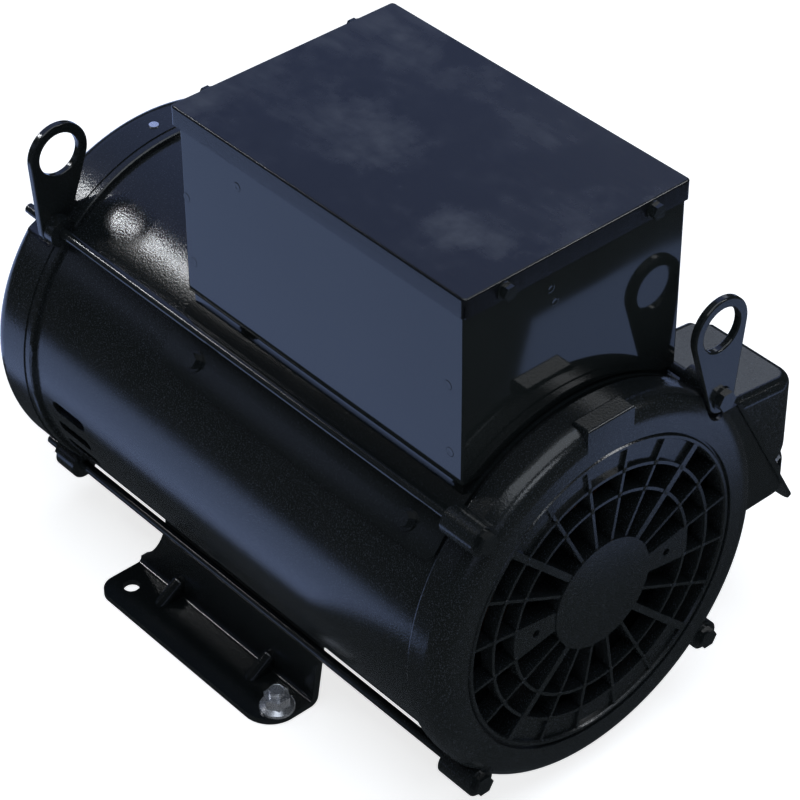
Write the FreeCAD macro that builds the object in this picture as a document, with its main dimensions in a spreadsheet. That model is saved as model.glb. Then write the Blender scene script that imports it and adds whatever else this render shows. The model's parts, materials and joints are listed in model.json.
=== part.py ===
"""Open drip-proof electric motor with a rolled steel frame and a capacitor box on top.

Row frame, in millimetres: +Z up, shaft axis along Y, shaft extension towards +Y.
The origin is on the mounting plane, midway between the two foot holes nearest the shaft extension.
"""
import FreeCAD, Part
import math
import os
import re

import Sketcher

V = FreeCAD.Vector
DOC = FreeCAD.newDocument("electric_motor")
SHEET = DOC.addObject("Spreadsheet::Sheet", "Sizes")
PIECES = []

SIZES = [
    ("axis_height", 133.35, "shaft centre above the mounting plane"),
    ("foot_half", 107.95, "foot hole to centre plane"),
    ("foot_pitch", 139.7, "distance between foot holes along the shaft"),
    ("foot_hole", 5.2, "foot hole radius"),
    ("foot_sheet", 4.0, "foot thickness"),
    ("shell_radius", 117.5, "outside of the rolled frame"),
    ("shell_wall", 4.0, "frame sheet"),
    ("shell_front", -280.0, "front end of the frame"),
    ("shell_back", 74.0, "back end of the frame"),
    ("face_front", -294.0, "front bell's face"),
    ("face_back", 107.0, "rear bell's face"),
    ("rim_radius", 121.5, "outside of both bells"),
    ("rim_round", 12.0, "rounding between bell face and rim"),
    ("front_rim", 26.0, "length of the front bell's rim"),
    ("rear_rim", 38.0, "length of the rear bell's rim"),
    ("grille_radius", 95.25, "outside of the grille"),
    ("ring_outer", 80.9, "outer grille ring, middle of its width"),
    ("ring_inner", 65.0, "inner grille ring, middle of its width"),
    ("rib", 1.9, "thickness of grille spokes and rings"),
    ("main_rib", 4.4, "thickness of the four diagonal spokes"),
    ("hub_radius", 35.3, "front bearing hub"),
    ("rear_hub", 46.0, "rear bearing hub"),
    ("bolt_half", 88.0, "through bolt to centre planes"),
    ("bolt_radius", 3.15, "through bolt"),
    ("ear_radius", 9.2, "bolt ear on a bell"),
    ("lug_sheet", 4.8, "lifting lug thickness"),
    ("lug_reach", 49.0, "lug eye to its bolt"),
    ("lug_eye", 13.7, "lug eye radius"),
    ("lug_outer", 20.0, "lug radius round the eye"),
    ("saddle_sheet", 2.4, "saddle thickness"),
    ("saddle_front", -266.0, "front edge of the saddle"),
    ("saddle_back", -35.0, "back edge of the saddle"),
    ("box_half", 78.2, "half the capacitor box's width"),
    ("box_front", -264.5, "front wall of the box"),
    ("box_back", -35.7, "back wall of the box"),
    ("box_skirt", 235.5, "height of the box's lower edge"),
    ("box_floor", 257.0, "height of the box's floor"),
    ("box_top", 355.4, "height of the box's upper edge"),
    ("box_sheet", 1.5, "box and lid sheet"),
    ("lid_half", 79.8, "half the lid's width"),
    ("lid_front", -266.1, "front of the lid"),
    ("lid_back", -30.6, "back of the lid"),
    ("lid_lip", 12.4, "depth of the lid's lip"),
    ("core_front", -165.0, "front of the stator and rotor laminations"),
    ("core_back", -35.0, "back of the stator and rotor laminations"),
    ("bore_radius", 70.0, "stator bore"),
    ("rotor_radius", 69.5, "rotor outside"),
    ("shaft_radius", 17.4625, "shaft extension"),
    ("shaft_length", 85.85, "usable shaft extension"),
    ("shaft_shoulder", 111.1, "where the shaft extension starts"),
    ("relief_radius", 17.2, "shaft between the bearing seat and the extension"),
    ("key_side", 7.94, "width of the keyway"),
    ("key_bottom", 13.04, "keyway floor above the shaft's axis"),
    ("con_front", -262.0, "front of the conduit box"),
    ("con_depth", 80.0, "conduit box length along the shaft"),
    ("con_hole", 14.0, "conduit hole radius"),
]
for line, (alias, value, note) in enumerate(SIZES, start=1):
    SHEET.set(f"A{line}", note)
    SHEET.set(f"B{line}", str(value))
    SHEET.setAlias(f"B{line}", alias)
DOC.recompute()
ALIASES = {alias for alias, _, _ in SIZES}


def cells(text):
    """An expression in which every alias names its sheet."""
    return re.sub(r"[a-z_]+", lambda m: "Sizes." + m[0] if m[0] in ALIASES else m[0], str(text))


def num(text):
    """The value of an expression now."""
    return float(SHEET.evalExpression(cells(text)))


AXIS = V(0, 0, num("axis_height"))
ALONG_Y = FreeCAD.Rotation(V(1, 0, 0), -90)
ALONG_X = FreeCAD.Rotation(V(0, 1, 0), 90)
UPRIGHT = FreeCAD.Rotation()


def turn_about_shaft(degrees):
    """Turn from +X towards +Z."""
    return FreeCAD.Rotation(V(0, -1, 0), degrees)


def polar(radius, degrees, along=0.0):
    """A point round the shaft, from +X towards +Z, in the shaft's own frame."""
    angle = math.radians(degrees)
    return V(radius * math.cos(angle), along, radius * math.sin(angle))


def bind(shape, at, turn, **sizes):
    for name, text in sizes.items():
        shape.setExpression(name, cells(text))
    shape.Placement = FreeCAD.Placement(at, turn)
    return shape


def rod(name, at, radius, length, turn=ALONG_Y):
    """Cylinder whose first end is centred at a point."""
    return bind(DOC.addObject("Part::Cylinder", name), at, turn, Radius=radius, Height=length)


def block(name, at, length, width, height, turn=UPRIGHT):
    """Box from its lowest corner."""
    return bind(DOC.addObject("Part::Box", name), at, turn, Length=length, Width=width, Height=height)


def ball(name, at, radius):
    return bind(DOC.addObject("Part::Sphere", name), at, UPRIGHT, Radius=radius)


def torus(name, at, ring, tube):
    return bind(DOC.addObject("Part::Torus", name), at, ALONG_Y, Radius1=ring, Radius2=tube)


def hexagon(name, at, flats, height, turn=ALONG_Y):
    """Six-sided prism with a given width across its flats."""
    prism = DOC.addObject("Part::Prism", name)
    prism.Polygon = 6
    return bind(prism, at, turn, Circumradius=f"({flats}) / sqrt(3)", Height=height)


def outline(name, points):
    """Closed polygon in a sketch; every corner is held by the sheet."""
    sketch = DOC.addObject("Sketcher::SketchObject", name)
    places = [V(num(across), num(up), 0) for across, up in points]
    ring = list(zip(places, places[1:] + places[:1]))
    sketch.addGeometry([Part.LineSegment(start, end) for start, end in ring])
    last = len(points) - 1
    for index in range(len(points)):
        follower = 0 if index == last else index + 1
        sketch.addConstraint(Sketcher.Constraint("Coincident", index, 2, follower, 1))
    for index, (across, up) in enumerate(points):
        for kind, letter, text, axis in (("DistanceX", "x", across, -2), ("DistanceY", "y", up, -1)):
            if abs(num(text)) < 1e-9:
                sketch.addConstraint(Sketcher.Constraint("PointOnObject", index, 1, axis))
                continue
            held = sketch.addConstraint(Sketcher.Constraint(kind, -1, 1, index, 1, num(text)))
            sketch.renameConstraint(held, f"{letter}{index}")
            sketch.setExpression(f"Constraints.{letter}{index}", cells(text))
    return sketch


def turned(name, points, at=AXIS, start=0, sweep=360):
    """Outline of (radius, along) corners turned about the shaft's direction."""
    solid = DOC.addObject("Part::Revolution", name)
    solid.Source = outline(name + "_outline", points)
    solid.Axis = V(0, -1, 0)
    solid.Angle = sweep
    solid.Solid = True
    solid.Placement = FreeCAD.Placement(at, turn_about_shaft(start))
    return solid


def pushed(name, points, front, length):
    """Outline of (x, z) corners pushed along Y from a front plane."""
    sketch = outline(name + "_outline", points)
    sketch.Placement = FreeCAD.Placement(V(0, num(front), 0), FreeCAD.Rotation(V(1, 0, 0), 90))
    solid = DOC.addObject("Part::Extrusion", name)
    solid.Base = sketch
    solid.DirMode = "Custom"
    solid.Dir = V(0, 1, 0)
    solid.setExpression("LengthFwd", cells(length))
    solid.Solid = True
    return solid


def cut(name, base, *tools):
    tool = tools[0] if len(tools) == 1 else group(name + "_tools", *tools)
    solid = DOC.addObject("Part::Cut", name)
    solid.Base, solid.Tool = base, tool
    return solid


def fuse(name, *parts):
    solid = DOC.addObject("Part::MultiFuse", name)
    solid.Shapes = list(parts)
    return solid


def group(name, *parts):
    """Separate solids side by side."""
    several = DOC.addObject("Part::Compound", name)
    several.Links = list(parts)
    return several


def rounded(name, base, radius, wanted):
    """Fillet on the edges that a test picks."""
    DOC.recompute()
    fillet = DOC.addObject("Part::Fillet", name)
    fillet.Base = base
    fillet.Edges = [(i, radius, radius) for i, edge in enumerate(base.Shape.Edges, 1) if wanted(edge)]
    return fillet


def bevelled(name, base, size, wanted):
    DOC.recompute()
    chamfer = DOC.addObject("Part::Chamfer", name)
    chamfer.Base = base
    chamfer.Edges = [(i, size, size) for i, edge in enumerate(base.Shape.Edges, 1) if wanted(edge)]
    return chamfer


def is_straight(edge, direction):
    """A straight edge that runs along a direction."""
    if not isinstance(edge.Curve, Part.Line):
        return False
    return abs(abs(edge.tangentAt(edge.FirstParameter).dot(direction)) - 1) < 1e-6


def is_circle(edge, radius, along=None):
    """A circular edge of a radius, on a plane across Y."""
    if not isinstance(edge.Curve, Part.Circle) or abs(edge.Curve.Radius - radius) > 1e-3:
        return False
    return along is None or abs(edge.Curve.Center.y - along) < 1e-3


def piece(shape, label):
    """Name a finished piece; its label is its file's name."""
    shape.Label = label
    PIECES.append(shape)
    return shape


# ---------------------------------------------------------------- rolled frame
SADDLE_SCREW_ALONG = (-240.2, -60.6)
SADDLE_SCREW_TILT = (37.7, 142.3)
LEAD_ALONG = -188.0
CONDUIT_MIDDLE = num("con_front + con_depth / 2")


def frame_shell():
    tube = turned("shell_tube", [("shell_radius - shell_wall", "shell_front"), ("shell_radius", "shell_front"),
                                 ("shell_radius", "shell_back"), ("shell_radius - shell_wall", "shell_back")])
    tools = [rod("shell_lead_hole", V(0, LEAD_ALONG, num("axis_height + 100")), 12.5, 30, UPRIGHT),
             rod("shell_conduit_hole", V(100, CONDUIT_MIDDLE, AXIS.z), 16, 30, ALONG_X)]
    for along in SADDLE_SCREW_ALONG:
        for tilt in SADDLE_SCREW_TILT:
            tools.append(radial_rod(f"shell_screw_hole_{along:.0f}_{tilt:.0f}".replace("-", "m").replace(".", "_"),
                                    105, tilt, along, 2.4, 20))
    for tilt in (-172.3, -164.0, -155.7, -7.7, -16.0, -24.3):
        tools.append(louvre_slot(tilt))
    return cut("shell", tube, *tools)


def louvre_slot(tilt):
    """Round-ended slot along the shaft, pushed out through the frame."""
    long, high, front = 31, 8.4, 24
    turn = turn_about_shaft(tilt)
    corner = AXIS + turn.multVec(V(110, 0, -high / 2)) + V(0, front, 0)
    outward = turn.multVec(V(1, 0, 0))
    sharp = block(f"louvre_{abs(tilt):.0f}", corner, 12, long, high, turn)
    return rounded(f"louvre_soft_{abs(tilt):.0f}", sharp, 4, lambda edge: is_straight(edge, outward))


def radial_rod(name, start, tilt, along, radius, length):
    """Cylinder that points away from the shaft."""
    direction = polar(1, tilt)
    turn = FreeCAD.Rotation(V(0, 0, 1), direction)
    return rod(name, AXIS + polar(start, tilt, along), radius, length, turn)


# ---------------------------------------------------------------- end bells
SPOKES = 20
CORNERS = ((1, 1), (-1, 1), (-1, -1), (1, -1))
LUG_CORNER = (1, 1)
HEAD_DEEP = 2.2
NUT_DEEP = 20
LUG_SEAT_FRONT = 7
LUG_SEAT_BACK = 29.4
LUG_LEAN_FRONT = 5
LUG_LEAN_BACK = 8


def bell(prefix, rim, seat, hub, housing, bore, wall, shaft_hole):
    """End bell in its own frame: face at Y = 0, inside towards +Y."""
    origin = V(0, 0, 0)
    ring = turned(prefix + "_ring", [
        ("grille_radius", 1.4), ("grille_radius + 0.7", 0.3), ("grille_radius + 2.3", 0.3),
        ("grille_radius + 3.2", 1.4), ("grille_radius + 3.2", 2), ("grille_radius + 4.6", 2),
        ("grille_radius + 4.6", 0), ("rim_radius", 0),
        ("rim_radius", f"{rim} - 6"), ("rim_radius - 0.7", f"{rim} - 6"), ("rim_radius - 0.7", rim),
        ("shell_radius", rim), ("shell_radius", seat),
        ("shell_radius - 7.5", seat), ("shell_radius - 7.5", 8),
        ("grille_radius + 2.4", 8), ("grille_radius + 2.4", 13), ("grille_radius", 13)], origin)
    face_round = rounded(prefix + "_round", ring, num("rim_round"),
                         lambda edge: is_circle(edge, num("rim_radius"), 0))
    round_back = rounded(prefix + "_back", face_round, 1.5,
                         lambda edge: is_circle(edge, num("rim_radius - 0.7"), num(rim)))
    hub_corners = [(hub, 0), (hub, housing), (bore, housing), (bore, wall)]
    hub_corners += [(shaft_hole, wall), (shaft_hole, 0)] if shaft_hole else [(0, wall), (0, 0)]
    solids = [round_back, turned(prefix + "_hub", hub_corners, origin)]
    for middle in ("ring_outer", "ring_inner"):
        solids.append(turned(f"{prefix}_{middle}", [
            (f"{middle} - rib / 2", 0.8), (f"{middle} + rib / 2", 0.8),
            (f"{middle} + rib / 2", 10), (f"{middle} - rib / 2", 10)], origin))
    for number in range(SPOKES):
        tilt = 9 + number * 360 / SPOKES
        main = abs(abs((tilt % 90) - 45)) < 1
        thick, depth, lift = ("main_rib", 16, 0.4) if main else ("rib", 11, 0.8)
        turn = turn_about_shaft(tilt)
        inner = num(hub) - 1.5
        corner = turn.multVec(V(inner, 0, -num(thick) / 2)) + V(0, lift, 0)
        solids.append(block(f"{prefix}_spoke_{number}", corner, f"grille_radius + 1.2 - {inner}", depth, thick, turn))
    for start in (45, 225):
        solids.append(turned(f"{prefix}_blank_{start}", [
            ("ring_outer", 3), ("grille_radius + 1", 3), ("grille_radius + 1", 5.5), ("ring_outer", 5.5)],
            origin, start, 90))
    for start in (-9, 171):
        solids.append(turned(f"{prefix}_pad_{start % 360}", [
            (f"{hub} - 1", 0.8), ("ring_inner", 0.8), ("ring_inner", 5), (f"{hub} - 1", 5)], origin, start, 18))
    return solids


def ears(prefix, plain, lug_seat, back, stop, seat, lean):
    """Four bolt ears webbed to the rim, and what is cut for their bolts, for a lug and for the frame."""
    solids = []
    holes = [turned(prefix + "_seat", [("shell_radius - 9", seat), ("shell_radius", seat),
                                       ("shell_radius", back + 2), ("shell_radius - 9", back + 2)], V(0, 0, 0))]
    half = num("bolt_half")
    inward = FreeCAD.Rotation(V(0, -1, 0), lean).multVec(V(0, 0, 16))
    lug_relief = V(half, -1, half) + inward
    holes.append(rod(f"{prefix}_lug_relief", lug_relief, 15.5, lug_seat + 1))
    for number, (side, up) in enumerate(CORNERS):
        tilt = 45 + 90 * number
        front, spot_face = (lug_seat, 13) if (side, up) == LUG_CORNER else (plain, 10.2)
        centre = V(side * half, front, up * half)
        holes.append(rod(f"{prefix}_spot_face_{tilt}", centre - V(0, front + 1, 0), spot_face, front + 1))
        solids.append(rod(f"{prefix}_ear_{tilt}", centre, "ear_radius", back - front))
        turn = turn_about_shaft(tilt)
        reach = math.hypot(half, half)
        start = num("shell_radius") - 3
        corner = turn.multVec(V(start, 0, -6.5)) + V(0, front + 3, 0)
        solids.append(block(f"{prefix}_web_{tilt}", corner, reach - start, stop - front - 3, 13, turn))
        holes.append(rod(f"{prefix}_ear_hole_{tilt}", centre - V(0, 1, 0), 3.4, back - front + 2))
    return solids, holes


def top_pad():
    """Flat raised pad on top of the front bell's rim, flush with its face."""
    raised = block("pad_top", V(-17, 0, num("rim_radius") - 13), 34, 12.5, 14.2)
    return rounded("pad_soft", raised, 1.2,
                   lambda edge: edge.BoundBox.ZMin > num("rim_radius") and edge.BoundBox.YMax < 13)


def front_bell():
    solids = bell("front", "front_rim", 14, "hub_radius", 27, 31.02, 5.5, None)
    more, holes = ears("front", HEAD_DEEP, LUG_SEAT_FRONT, 26.5, 26, 14, LUG_LEAN_FRONT)
    holes += [rod(f"front_pad_hole_{side}", V(side * 49.5, 0, 0), 2.4, 8) for side in (-1, 1)]
    casting = fuse("front_bell_sum", *solids, *more, top_pad())
    casting.Refine = False
    whole = cut("front_bell_cut", casting, *holes)
    whole.Placement = FreeCAD.Placement(AXIS + V(0, num("face_front"), 0), UPRIGHT)
    return whole


PLUG_SIDE = -8.5
PLUG_DEEP = 22.4
PLUG_FLOOR = 117.0
CAP_SCREW_RING = 52.0
CAP_SCREW_TILTS = (90, 210, 330)


def rear_bell():
    solids = bell("rear", "rear_rim", 33, "rear_hub", 30, 40.02, 7, 18.3)
    more, holes = ears("rear", NUT_DEEP, LUG_SEAT_BACK, 37, 38, 33, LUG_LEAN_BACK)
    for tilt in CAP_SCREW_TILTS:
        spot = polar(CAP_SCREW_RING, 180 - tilt, 0)
        solids.append(rod(f"rear_boss_{tilt}", spot, 6.5, 30))
        holes.append(rod(f"rear_boss_hole_{tilt}", spot, 2.6, 31))
    plug = rod("rear_plug_hole", V(-PLUG_SIDE, PLUG_DEEP, PLUG_FLOOR), 3.0, 12, UPRIGHT)
    whole = cut("rear_bell_cut", fuse("rear_bell_sum", *solids, *more), *holes, plug)
    whole.Placement = FreeCAD.Placement(AXIS + V(0, num("face_back"), 0), FreeCAD.Rotation(V(0, 0, 1), 180))
    return whole


def grease_plug():
    """Press-in plug on top of the rear bell's rim."""
    spot = V(PLUG_SIDE, num("face_back") - PLUG_DEEP, AXIS.z + PLUG_FLOOR)
    return rod("plug", spot, 2.98, 4.9, UPRIGHT)


# ---------------------------------------------------------------- clamping bolts and lugs
HEAD_HIGH = 4.5
NUT_HIGH = 5.5
HEAD_SEAT = num("face_front") + HEAD_DEEP
NUT_SEAT = num("face_back") - NUT_DEEP
BOLT_END = 104.3
FRONT_LUG_SEAT = num("face_front") + LUG_SEAT_FRONT
REAR_LUG_SEAT = num("face_back") - LUG_SEAT_BACK
FRONT_LUG_CORNER = LUG_CORNER
REAR_LUG_CORNER = (-LUG_CORNER[0], LUG_CORNER[1])


def bolt_place(corner, along):
    half = num("bolt_half")
    return V(corner[0] * half, along, AXIS.z + corner[1] * half)


def bolt_set():
    """Four through bolts and their nuts; two also clamp a lifting lug."""
    bolts, nuts = [], []
    for number, corner in enumerate(CORNERS):
        front = FRONT_LUG_SEAT - num("lug_sheet") if corner == FRONT_LUG_CORNER else HEAD_SEAT
        back = REAR_LUG_SEAT + num("lug_sheet") if corner == REAR_LUG_CORNER else NUT_SEAT
        shank = rod(f"bolt_shank_{number}", bolt_place(corner, front), "bolt_radius", BOLT_END - front)
        head = hexagon(f"bolt_head_{number}", bolt_place(corner, front - HEAD_HIGH), 11.1, HEAD_HIGH)
        washer = rod(f"bolt_washer_{number}", bolt_place(corner, front - 1.2), 7.2, 1.2)
        bolts.append(fuse(f"bolt_{number}", shank, head, washer))
        whole = hexagon(f"nut_whole_{number}", bolt_place(corner, back), 11.1, NUT_HIGH)
        bore = rod(f"nut_bore_{number}", bolt_place(corner, back - 1), "bolt_radius", NUT_HIGH + 2)
        nuts.append(cut(f"nut_{number}", whole, bore))
    return group("bolts", *bolts), group("nuts", *nuts)


def lifting_lug(name, corner, along, lean):
    """Tear-shaped plate: a ring round the eye, tapering to the bolt."""
    thick, reach = num("lug_sheet"), num("lug_reach")
    outer, lower = num("lug_outer"), 10.0
    slope = math.asin((outer - lower) / reach)
    side = [V(outer * math.cos(slope), 0, reach + outer * -math.sin(slope)),
            V(lower * math.cos(slope), 0, lower * -math.sin(slope))]
    corners = [side[0], side[1], V(-side[1].x, 0, side[1].z), V(-side[0].x, 0, side[0].z)]
    push = V(0, thick, 0)
    web = Part.Face(Part.makePolygon(corners + corners[:1])).extrude(push)
    eye = V(0, 0, reach)
    plate = web.fuse([Part.makeCylinder(outer, thick, eye, V(0, 1, 0)),
                      Part.makeCylinder(lower, thick, V(0, 0, 0), V(0, 1, 0))]).removeSplitter()
    plate = plate.cut(Part.makeCylinder(num("lug_eye"), thick, eye, V(0, 1, 0)))
    soft = [edge for edge in plate.Edges if edge.BoundBox.YLength < 1e-3]
    plate = plate.makeFillet(1.1, soft)
    plate = plate.cut(Part.makeCylinder(3.4, thick, V(0, 0, 0), V(0, 1, 0)))
    lug = DOC.addObject("Part::Feature", name)
    lug.Shape = plate
    lug.Placement = FreeCAD.Placement(bolt_place(corner, along), FreeCAD.Rotation(V(0, 1, 0), lean))
    return lug


# ---------------------------------------------------------------- capacitor box
def hex_washer_screw(name, at, turn, grip, shank=2.1, flange=5.6, flats=7.9):
    """Washer-faced hex screw; its local +Z points out of the work from the seat."""
    place = FreeCAD.Placement(at, turn)
    solids = [rod(name + "_washer", at, flange, 1.1, turn),
              hexagon(name + "_hex", place.multVec(V(0, 0, 1.1)), flats, 3.6, turn),
              rod(name + "_shank", place.multVec(V(0, 0, -grip)), shank, grip, turn)]
    return fuse(name, *solids)


def saddle_plate():
    sheet = turned("saddle_sheet_ring", [
        ("shell_radius", "saddle_front"), ("shell_radius + saddle_sheet", "saddle_front"),
        ("shell_radius + saddle_sheet", "saddle_back"), ("shell_radius", "saddle_back")], AXIS, 31.5, 117)
    ends = rounded("saddle_corners", sheet, 9, lambda edge: isinstance(edge.Curve, Part.Line)
                   and abs(edge.Length - num("saddle_sheet")) < 1e-3)
    holes = [rod("saddle_lead_hole", V(0, LEAD_ALONG, AXIS.z + 100), 12.5, 30, UPRIGHT)]
    for along in SADDLE_SCREW_ALONG:
        for tilt in SADDLE_SCREW_TILT:
            holes.append(radial_rod(f"saddle_hole_{abs(along):.0f}_{tilt:.0f}", 112, tilt, along, 2.4, 12))
    return cut("saddle", ends, *holes)


def saddle_screws():
    screws = []
    for along in SADDLE_SCREW_ALONG:
        for tilt in SADDLE_SCREW_TILT:
            seat = AXIS + polar(num("shell_radius + saddle_sheet"), tilt, along)
            turn = FreeCAD.Rotation(V(0, 0, 1), polar(1, tilt))
            screws.append(hex_washer_screw(f"saddle_screw_{abs(along):.0f}_{tilt:.0f}", seat, turn, 6, 2.35, 6.2, 8.0))
    return group("saddle_screw_set", *screws)


def shaft_cylinder(name, radius, front, length):
    """Round tool about the shaft that clears the frame below the box."""
    return rod(name, AXIS + V(0, front, 0), radius, length)


def box_riser():
    """Frame that stands on the saddle and carries the box's floor."""
    inset = 2.6
    outer = block("riser_outer", V(-num("box_half") + inset, num("box_front") + inset, 215),
                  f"2 * box_half - {2 * inset}", f"box_back - box_front - {2 * inset}", "box_floor - 215")
    inner = block("riser_inner", V(-num("box_half") + inset + 2, num("box_front") + inset + 2, 210),
                  f"2 * box_half - {2 * inset + 4}", f"box_back - box_front - {2 * inset + 4}", 60)
    drum = shaft_cylinder("riser_drum", "shell_radius + saddle_sheet", -300, 300)
    return cut("riser", outer, inner, drum)


BOX_SCREW_HEIGHT = 350.3
BOX_SCREW_HALF = 52.5


def capacitor_box():
    sheet = num("box_sheet")
    outer = block("box_outer", V(-num("box_half"), num("box_front"), num("box_skirt")),
                  "2 * box_half", "box_back - box_front", "box_top - box_skirt")
    corners = rounded("box_corners", outer, 1.6, lambda edge: is_straight(edge, V(0, 0, 1)))
    upper = block("box_upper", V(-num("box_half") + sheet, num("box_front") + sheet, num("box_floor") + sheet),
                  "2 * (box_half - box_sheet)", "box_back - box_front - 2 * box_sheet", 120)
    lower = block("box_lower", V(-num("box_half") + sheet, num("box_front") + sheet, num("box_skirt") - 5),
                  "2 * (box_half - box_sheet)", "box_back - box_front - 2 * box_sheet",
                  "box_floor - box_skirt + 5")
    tools = [upper, lower, shaft_cylinder("box_drum", 122.2, -300, 300),
             rod("box_lead_hole", V(0, LEAD_ALONG, num("box_floor") - 2), 12.5, 6, UPRIGHT)]
    for side in (-1, 1):
        spot = V(side * BOX_SCREW_HALF, num("box_front") - 5, BOX_SCREW_HEIGHT)
        tools.append(rod(f"box_screw_hole_{side + 1}", spot, 2.15, 250))
    return cut("box", corners, *tools)


def box_lid():
    sheet, notch = num("box_sheet"), 2.2
    low = num("box_top + box_sheet - lid_lip")
    outer = block("lid_outer", V(-num("lid_half"), num("lid_front"), low),
                  "2 * lid_half", "lid_back - lid_front", "lid_lip")
    upright = rounded("lid_corners", outer, 2.4, lambda edge: is_straight(edge, V(0, 0, 1)))
    soft = rounded("lid_rim", upright, 1.3, lambda edge: edge.BoundBox.ZMin > low + 5)
    inner = block("lid_inner", V(-num("lid_half") + sheet, num("lid_front") + sheet, low - 5),
                  "2 * (lid_half - box_sheet)", "lid_back - lid_front - 2 * box_sheet",
                  "lid_lip + 5 - box_sheet")
    tools = [inner]
    for side in (-1, 1):
        for end, place in (("front", num("lid_front") - 1), ("back", num("lid_back") - notch + 1)):
            edge = side * (num("lid_half") + 1) - (notch if side > 0 else 0)
            tools.append(block(f"lid_notch_{end}_{side + 1}", V(edge, place, low - 1), notch, notch,
                               "lid_lip - 2 * box_sheet"))
        spot = V(side * BOX_SCREW_HALF, num("lid_front") - 5, BOX_SCREW_HEIGHT)
        tools.append(rod(f"lid_screw_hole_{side + 1}", spot, 2.15, 250))
    return cut("lid", soft, *tools)


def lid_screws():
    screws = []
    for side in (-1, 1):
        for end, along, turn in (("front", num("lid_front"), FreeCAD.Rotation(V(1, 0, 0), 90)),
                                 ("back", num("lid_back"), ALONG_Y)):
            seat = V(side * BOX_SCREW_HALF, along, BOX_SCREW_HEIGHT)
            screws.append(hex_washer_screw(f"lid_screw_{end}_{side + 1}", seat, turn, 10))
    return group("lid_screw_set", *screws)


RUN_SPOTS = ((-48, -232), (-48, -180))
START_SPOTS = ((-52, -128), (-52, -84), (0, -84))


def capacitors(prefix, spots, radius, tall):
    """Round capacitors standing on the box's floor, each with two spade tabs."""
    floor = num("box_floor + box_sheet")
    cans = []
    for number, (across, along) in enumerate(spots):
        body = rod(f"{prefix}_{number}", V(across, along, floor), radius, tall, UPRIGHT)
        rim = rounded(f"{prefix}_soft_{number}", body, 1.5, lambda edge: is_level_circle(edge, radius))
        tabs = [block(f"{prefix}_tab_{number}_{side + 1}", V(across + side * 8 - 0.5, along - 3, floor + tall - 1),
                      1, 6, 9) for side in (-1, 1)]
        cans.append(fuse(f"{prefix}_whole_{number}", rim, *tabs))
    return group(prefix + "_set", *cans)


def is_level_circle(edge, radius):
    return isinstance(edge.Curve, Part.Circle) and abs(edge.Curve.Radius - radius) < 1e-3


def capacitor_clamps():
    """Band clamps with one foot tab each."""
    floor, bands = num("box_floor + box_sheet"), []
    for kind, spots, radius in (("run", RUN_SPOTS, 22.5), ("start", START_SPOTS, 18.5)):
        for number, (across, along) in enumerate(spots):
            base = V(across, along, floor + 20)
            ring = rod(f"{kind}_band_{number}", base, radius + 0.9, 12, UPRIGHT)
            foot = block(f"{kind}_foot_{number}", V(across + radius + 0.2, along - 5, floor), 1.2, 10, 32)
            pad = block(f"{kind}_pad_{number}", V(across + radius + 0.2, along - 5, floor), 9, 10, 1.2)
            bore = rod(f"{kind}_bore_{number}", base - V(0, 0, 21), radius, 60, UPRIGHT)
            bands.append(cut(f"{kind}_clamp_{number}", fuse(f"{kind}_clamp_sum_{number}", ring, foot, pad), bore))
    return group("clamp_set", *bands)


def start_relay():
    floor = num("box_floor + box_sheet")
    body = block("relay_body", V(22, -248, floor), 40, 52, 38)
    soft = rounded("relay_soft", body, 2, lambda edge: is_straight(edge, V(0, 0, 1)))
    tabs = [block(f"relay_tab_{n}", V(30 + 10 * n, -243 + 8 * n, floor + 37), 0.9, 6, 9) for n in range(3)]
    return fuse("relay", soft, *tabs)


def terminal_strip():
    floor = num("box_floor + box_sheet")
    base = block("strip_base", V(45, -180, floor), 20, 84, 12)
    walls = [block(f"strip_wall_{n}", V(45, -180 + 16.4 * n, floor + 11), 20, 2, 7) for n in range(6)]
    return fuse("strip", base, *walls)


def grommet(name, at, turn, bore, hole, grip):
    """Rubber ring with a lip on each side of a hole."""
    place = FreeCAD.Placement(at, turn)
    body = fuse(name + "_sum", rod(name + "_neck", place.multVec(V(0, 0, -grip)), hole, grip, turn),
                rod(name + "_lip", place.multVec(V(0, 0, 0)), hole + 3, 2, turn))
    return cut(name, body, rod(name + "_bore", place.multVec(V(0, 0, -grip - 1)), bore, grip + 5, turn))


# ---------------------------------------------------------------- conduit box
CON_TOP = (137.5, 173.4)
CON_LOW = (194.0, 69.2)
CON_OUT = (188.5, 167.0)
SPLIT = V(CON_LOW[0] - CON_TOP[0], 0, CON_LOW[1] - CON_TOP[1]).normalize()
OUTWARD = V(-SPLIT.z, 0, SPLIT.x)
COVER_SCREWS = ((76.0, num("con_front") + 5.5), (30.0, num("con_front + con_depth") - 5.5))


def split_point(down, out, along=0.0):
    """A point given by its distances down the split plane and out of it."""
    return V(CON_TOP[0], along, CON_TOP[1]) + SPLIT * down + OUTWARD * out


def conduit_pocket(name, down, along, out, radius, length):
    turn = FreeCAD.Rotation(V(0, 0, 1), OUTWARD)
    return rod(name, split_point(down, out, along), radius, length, turn)


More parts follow.
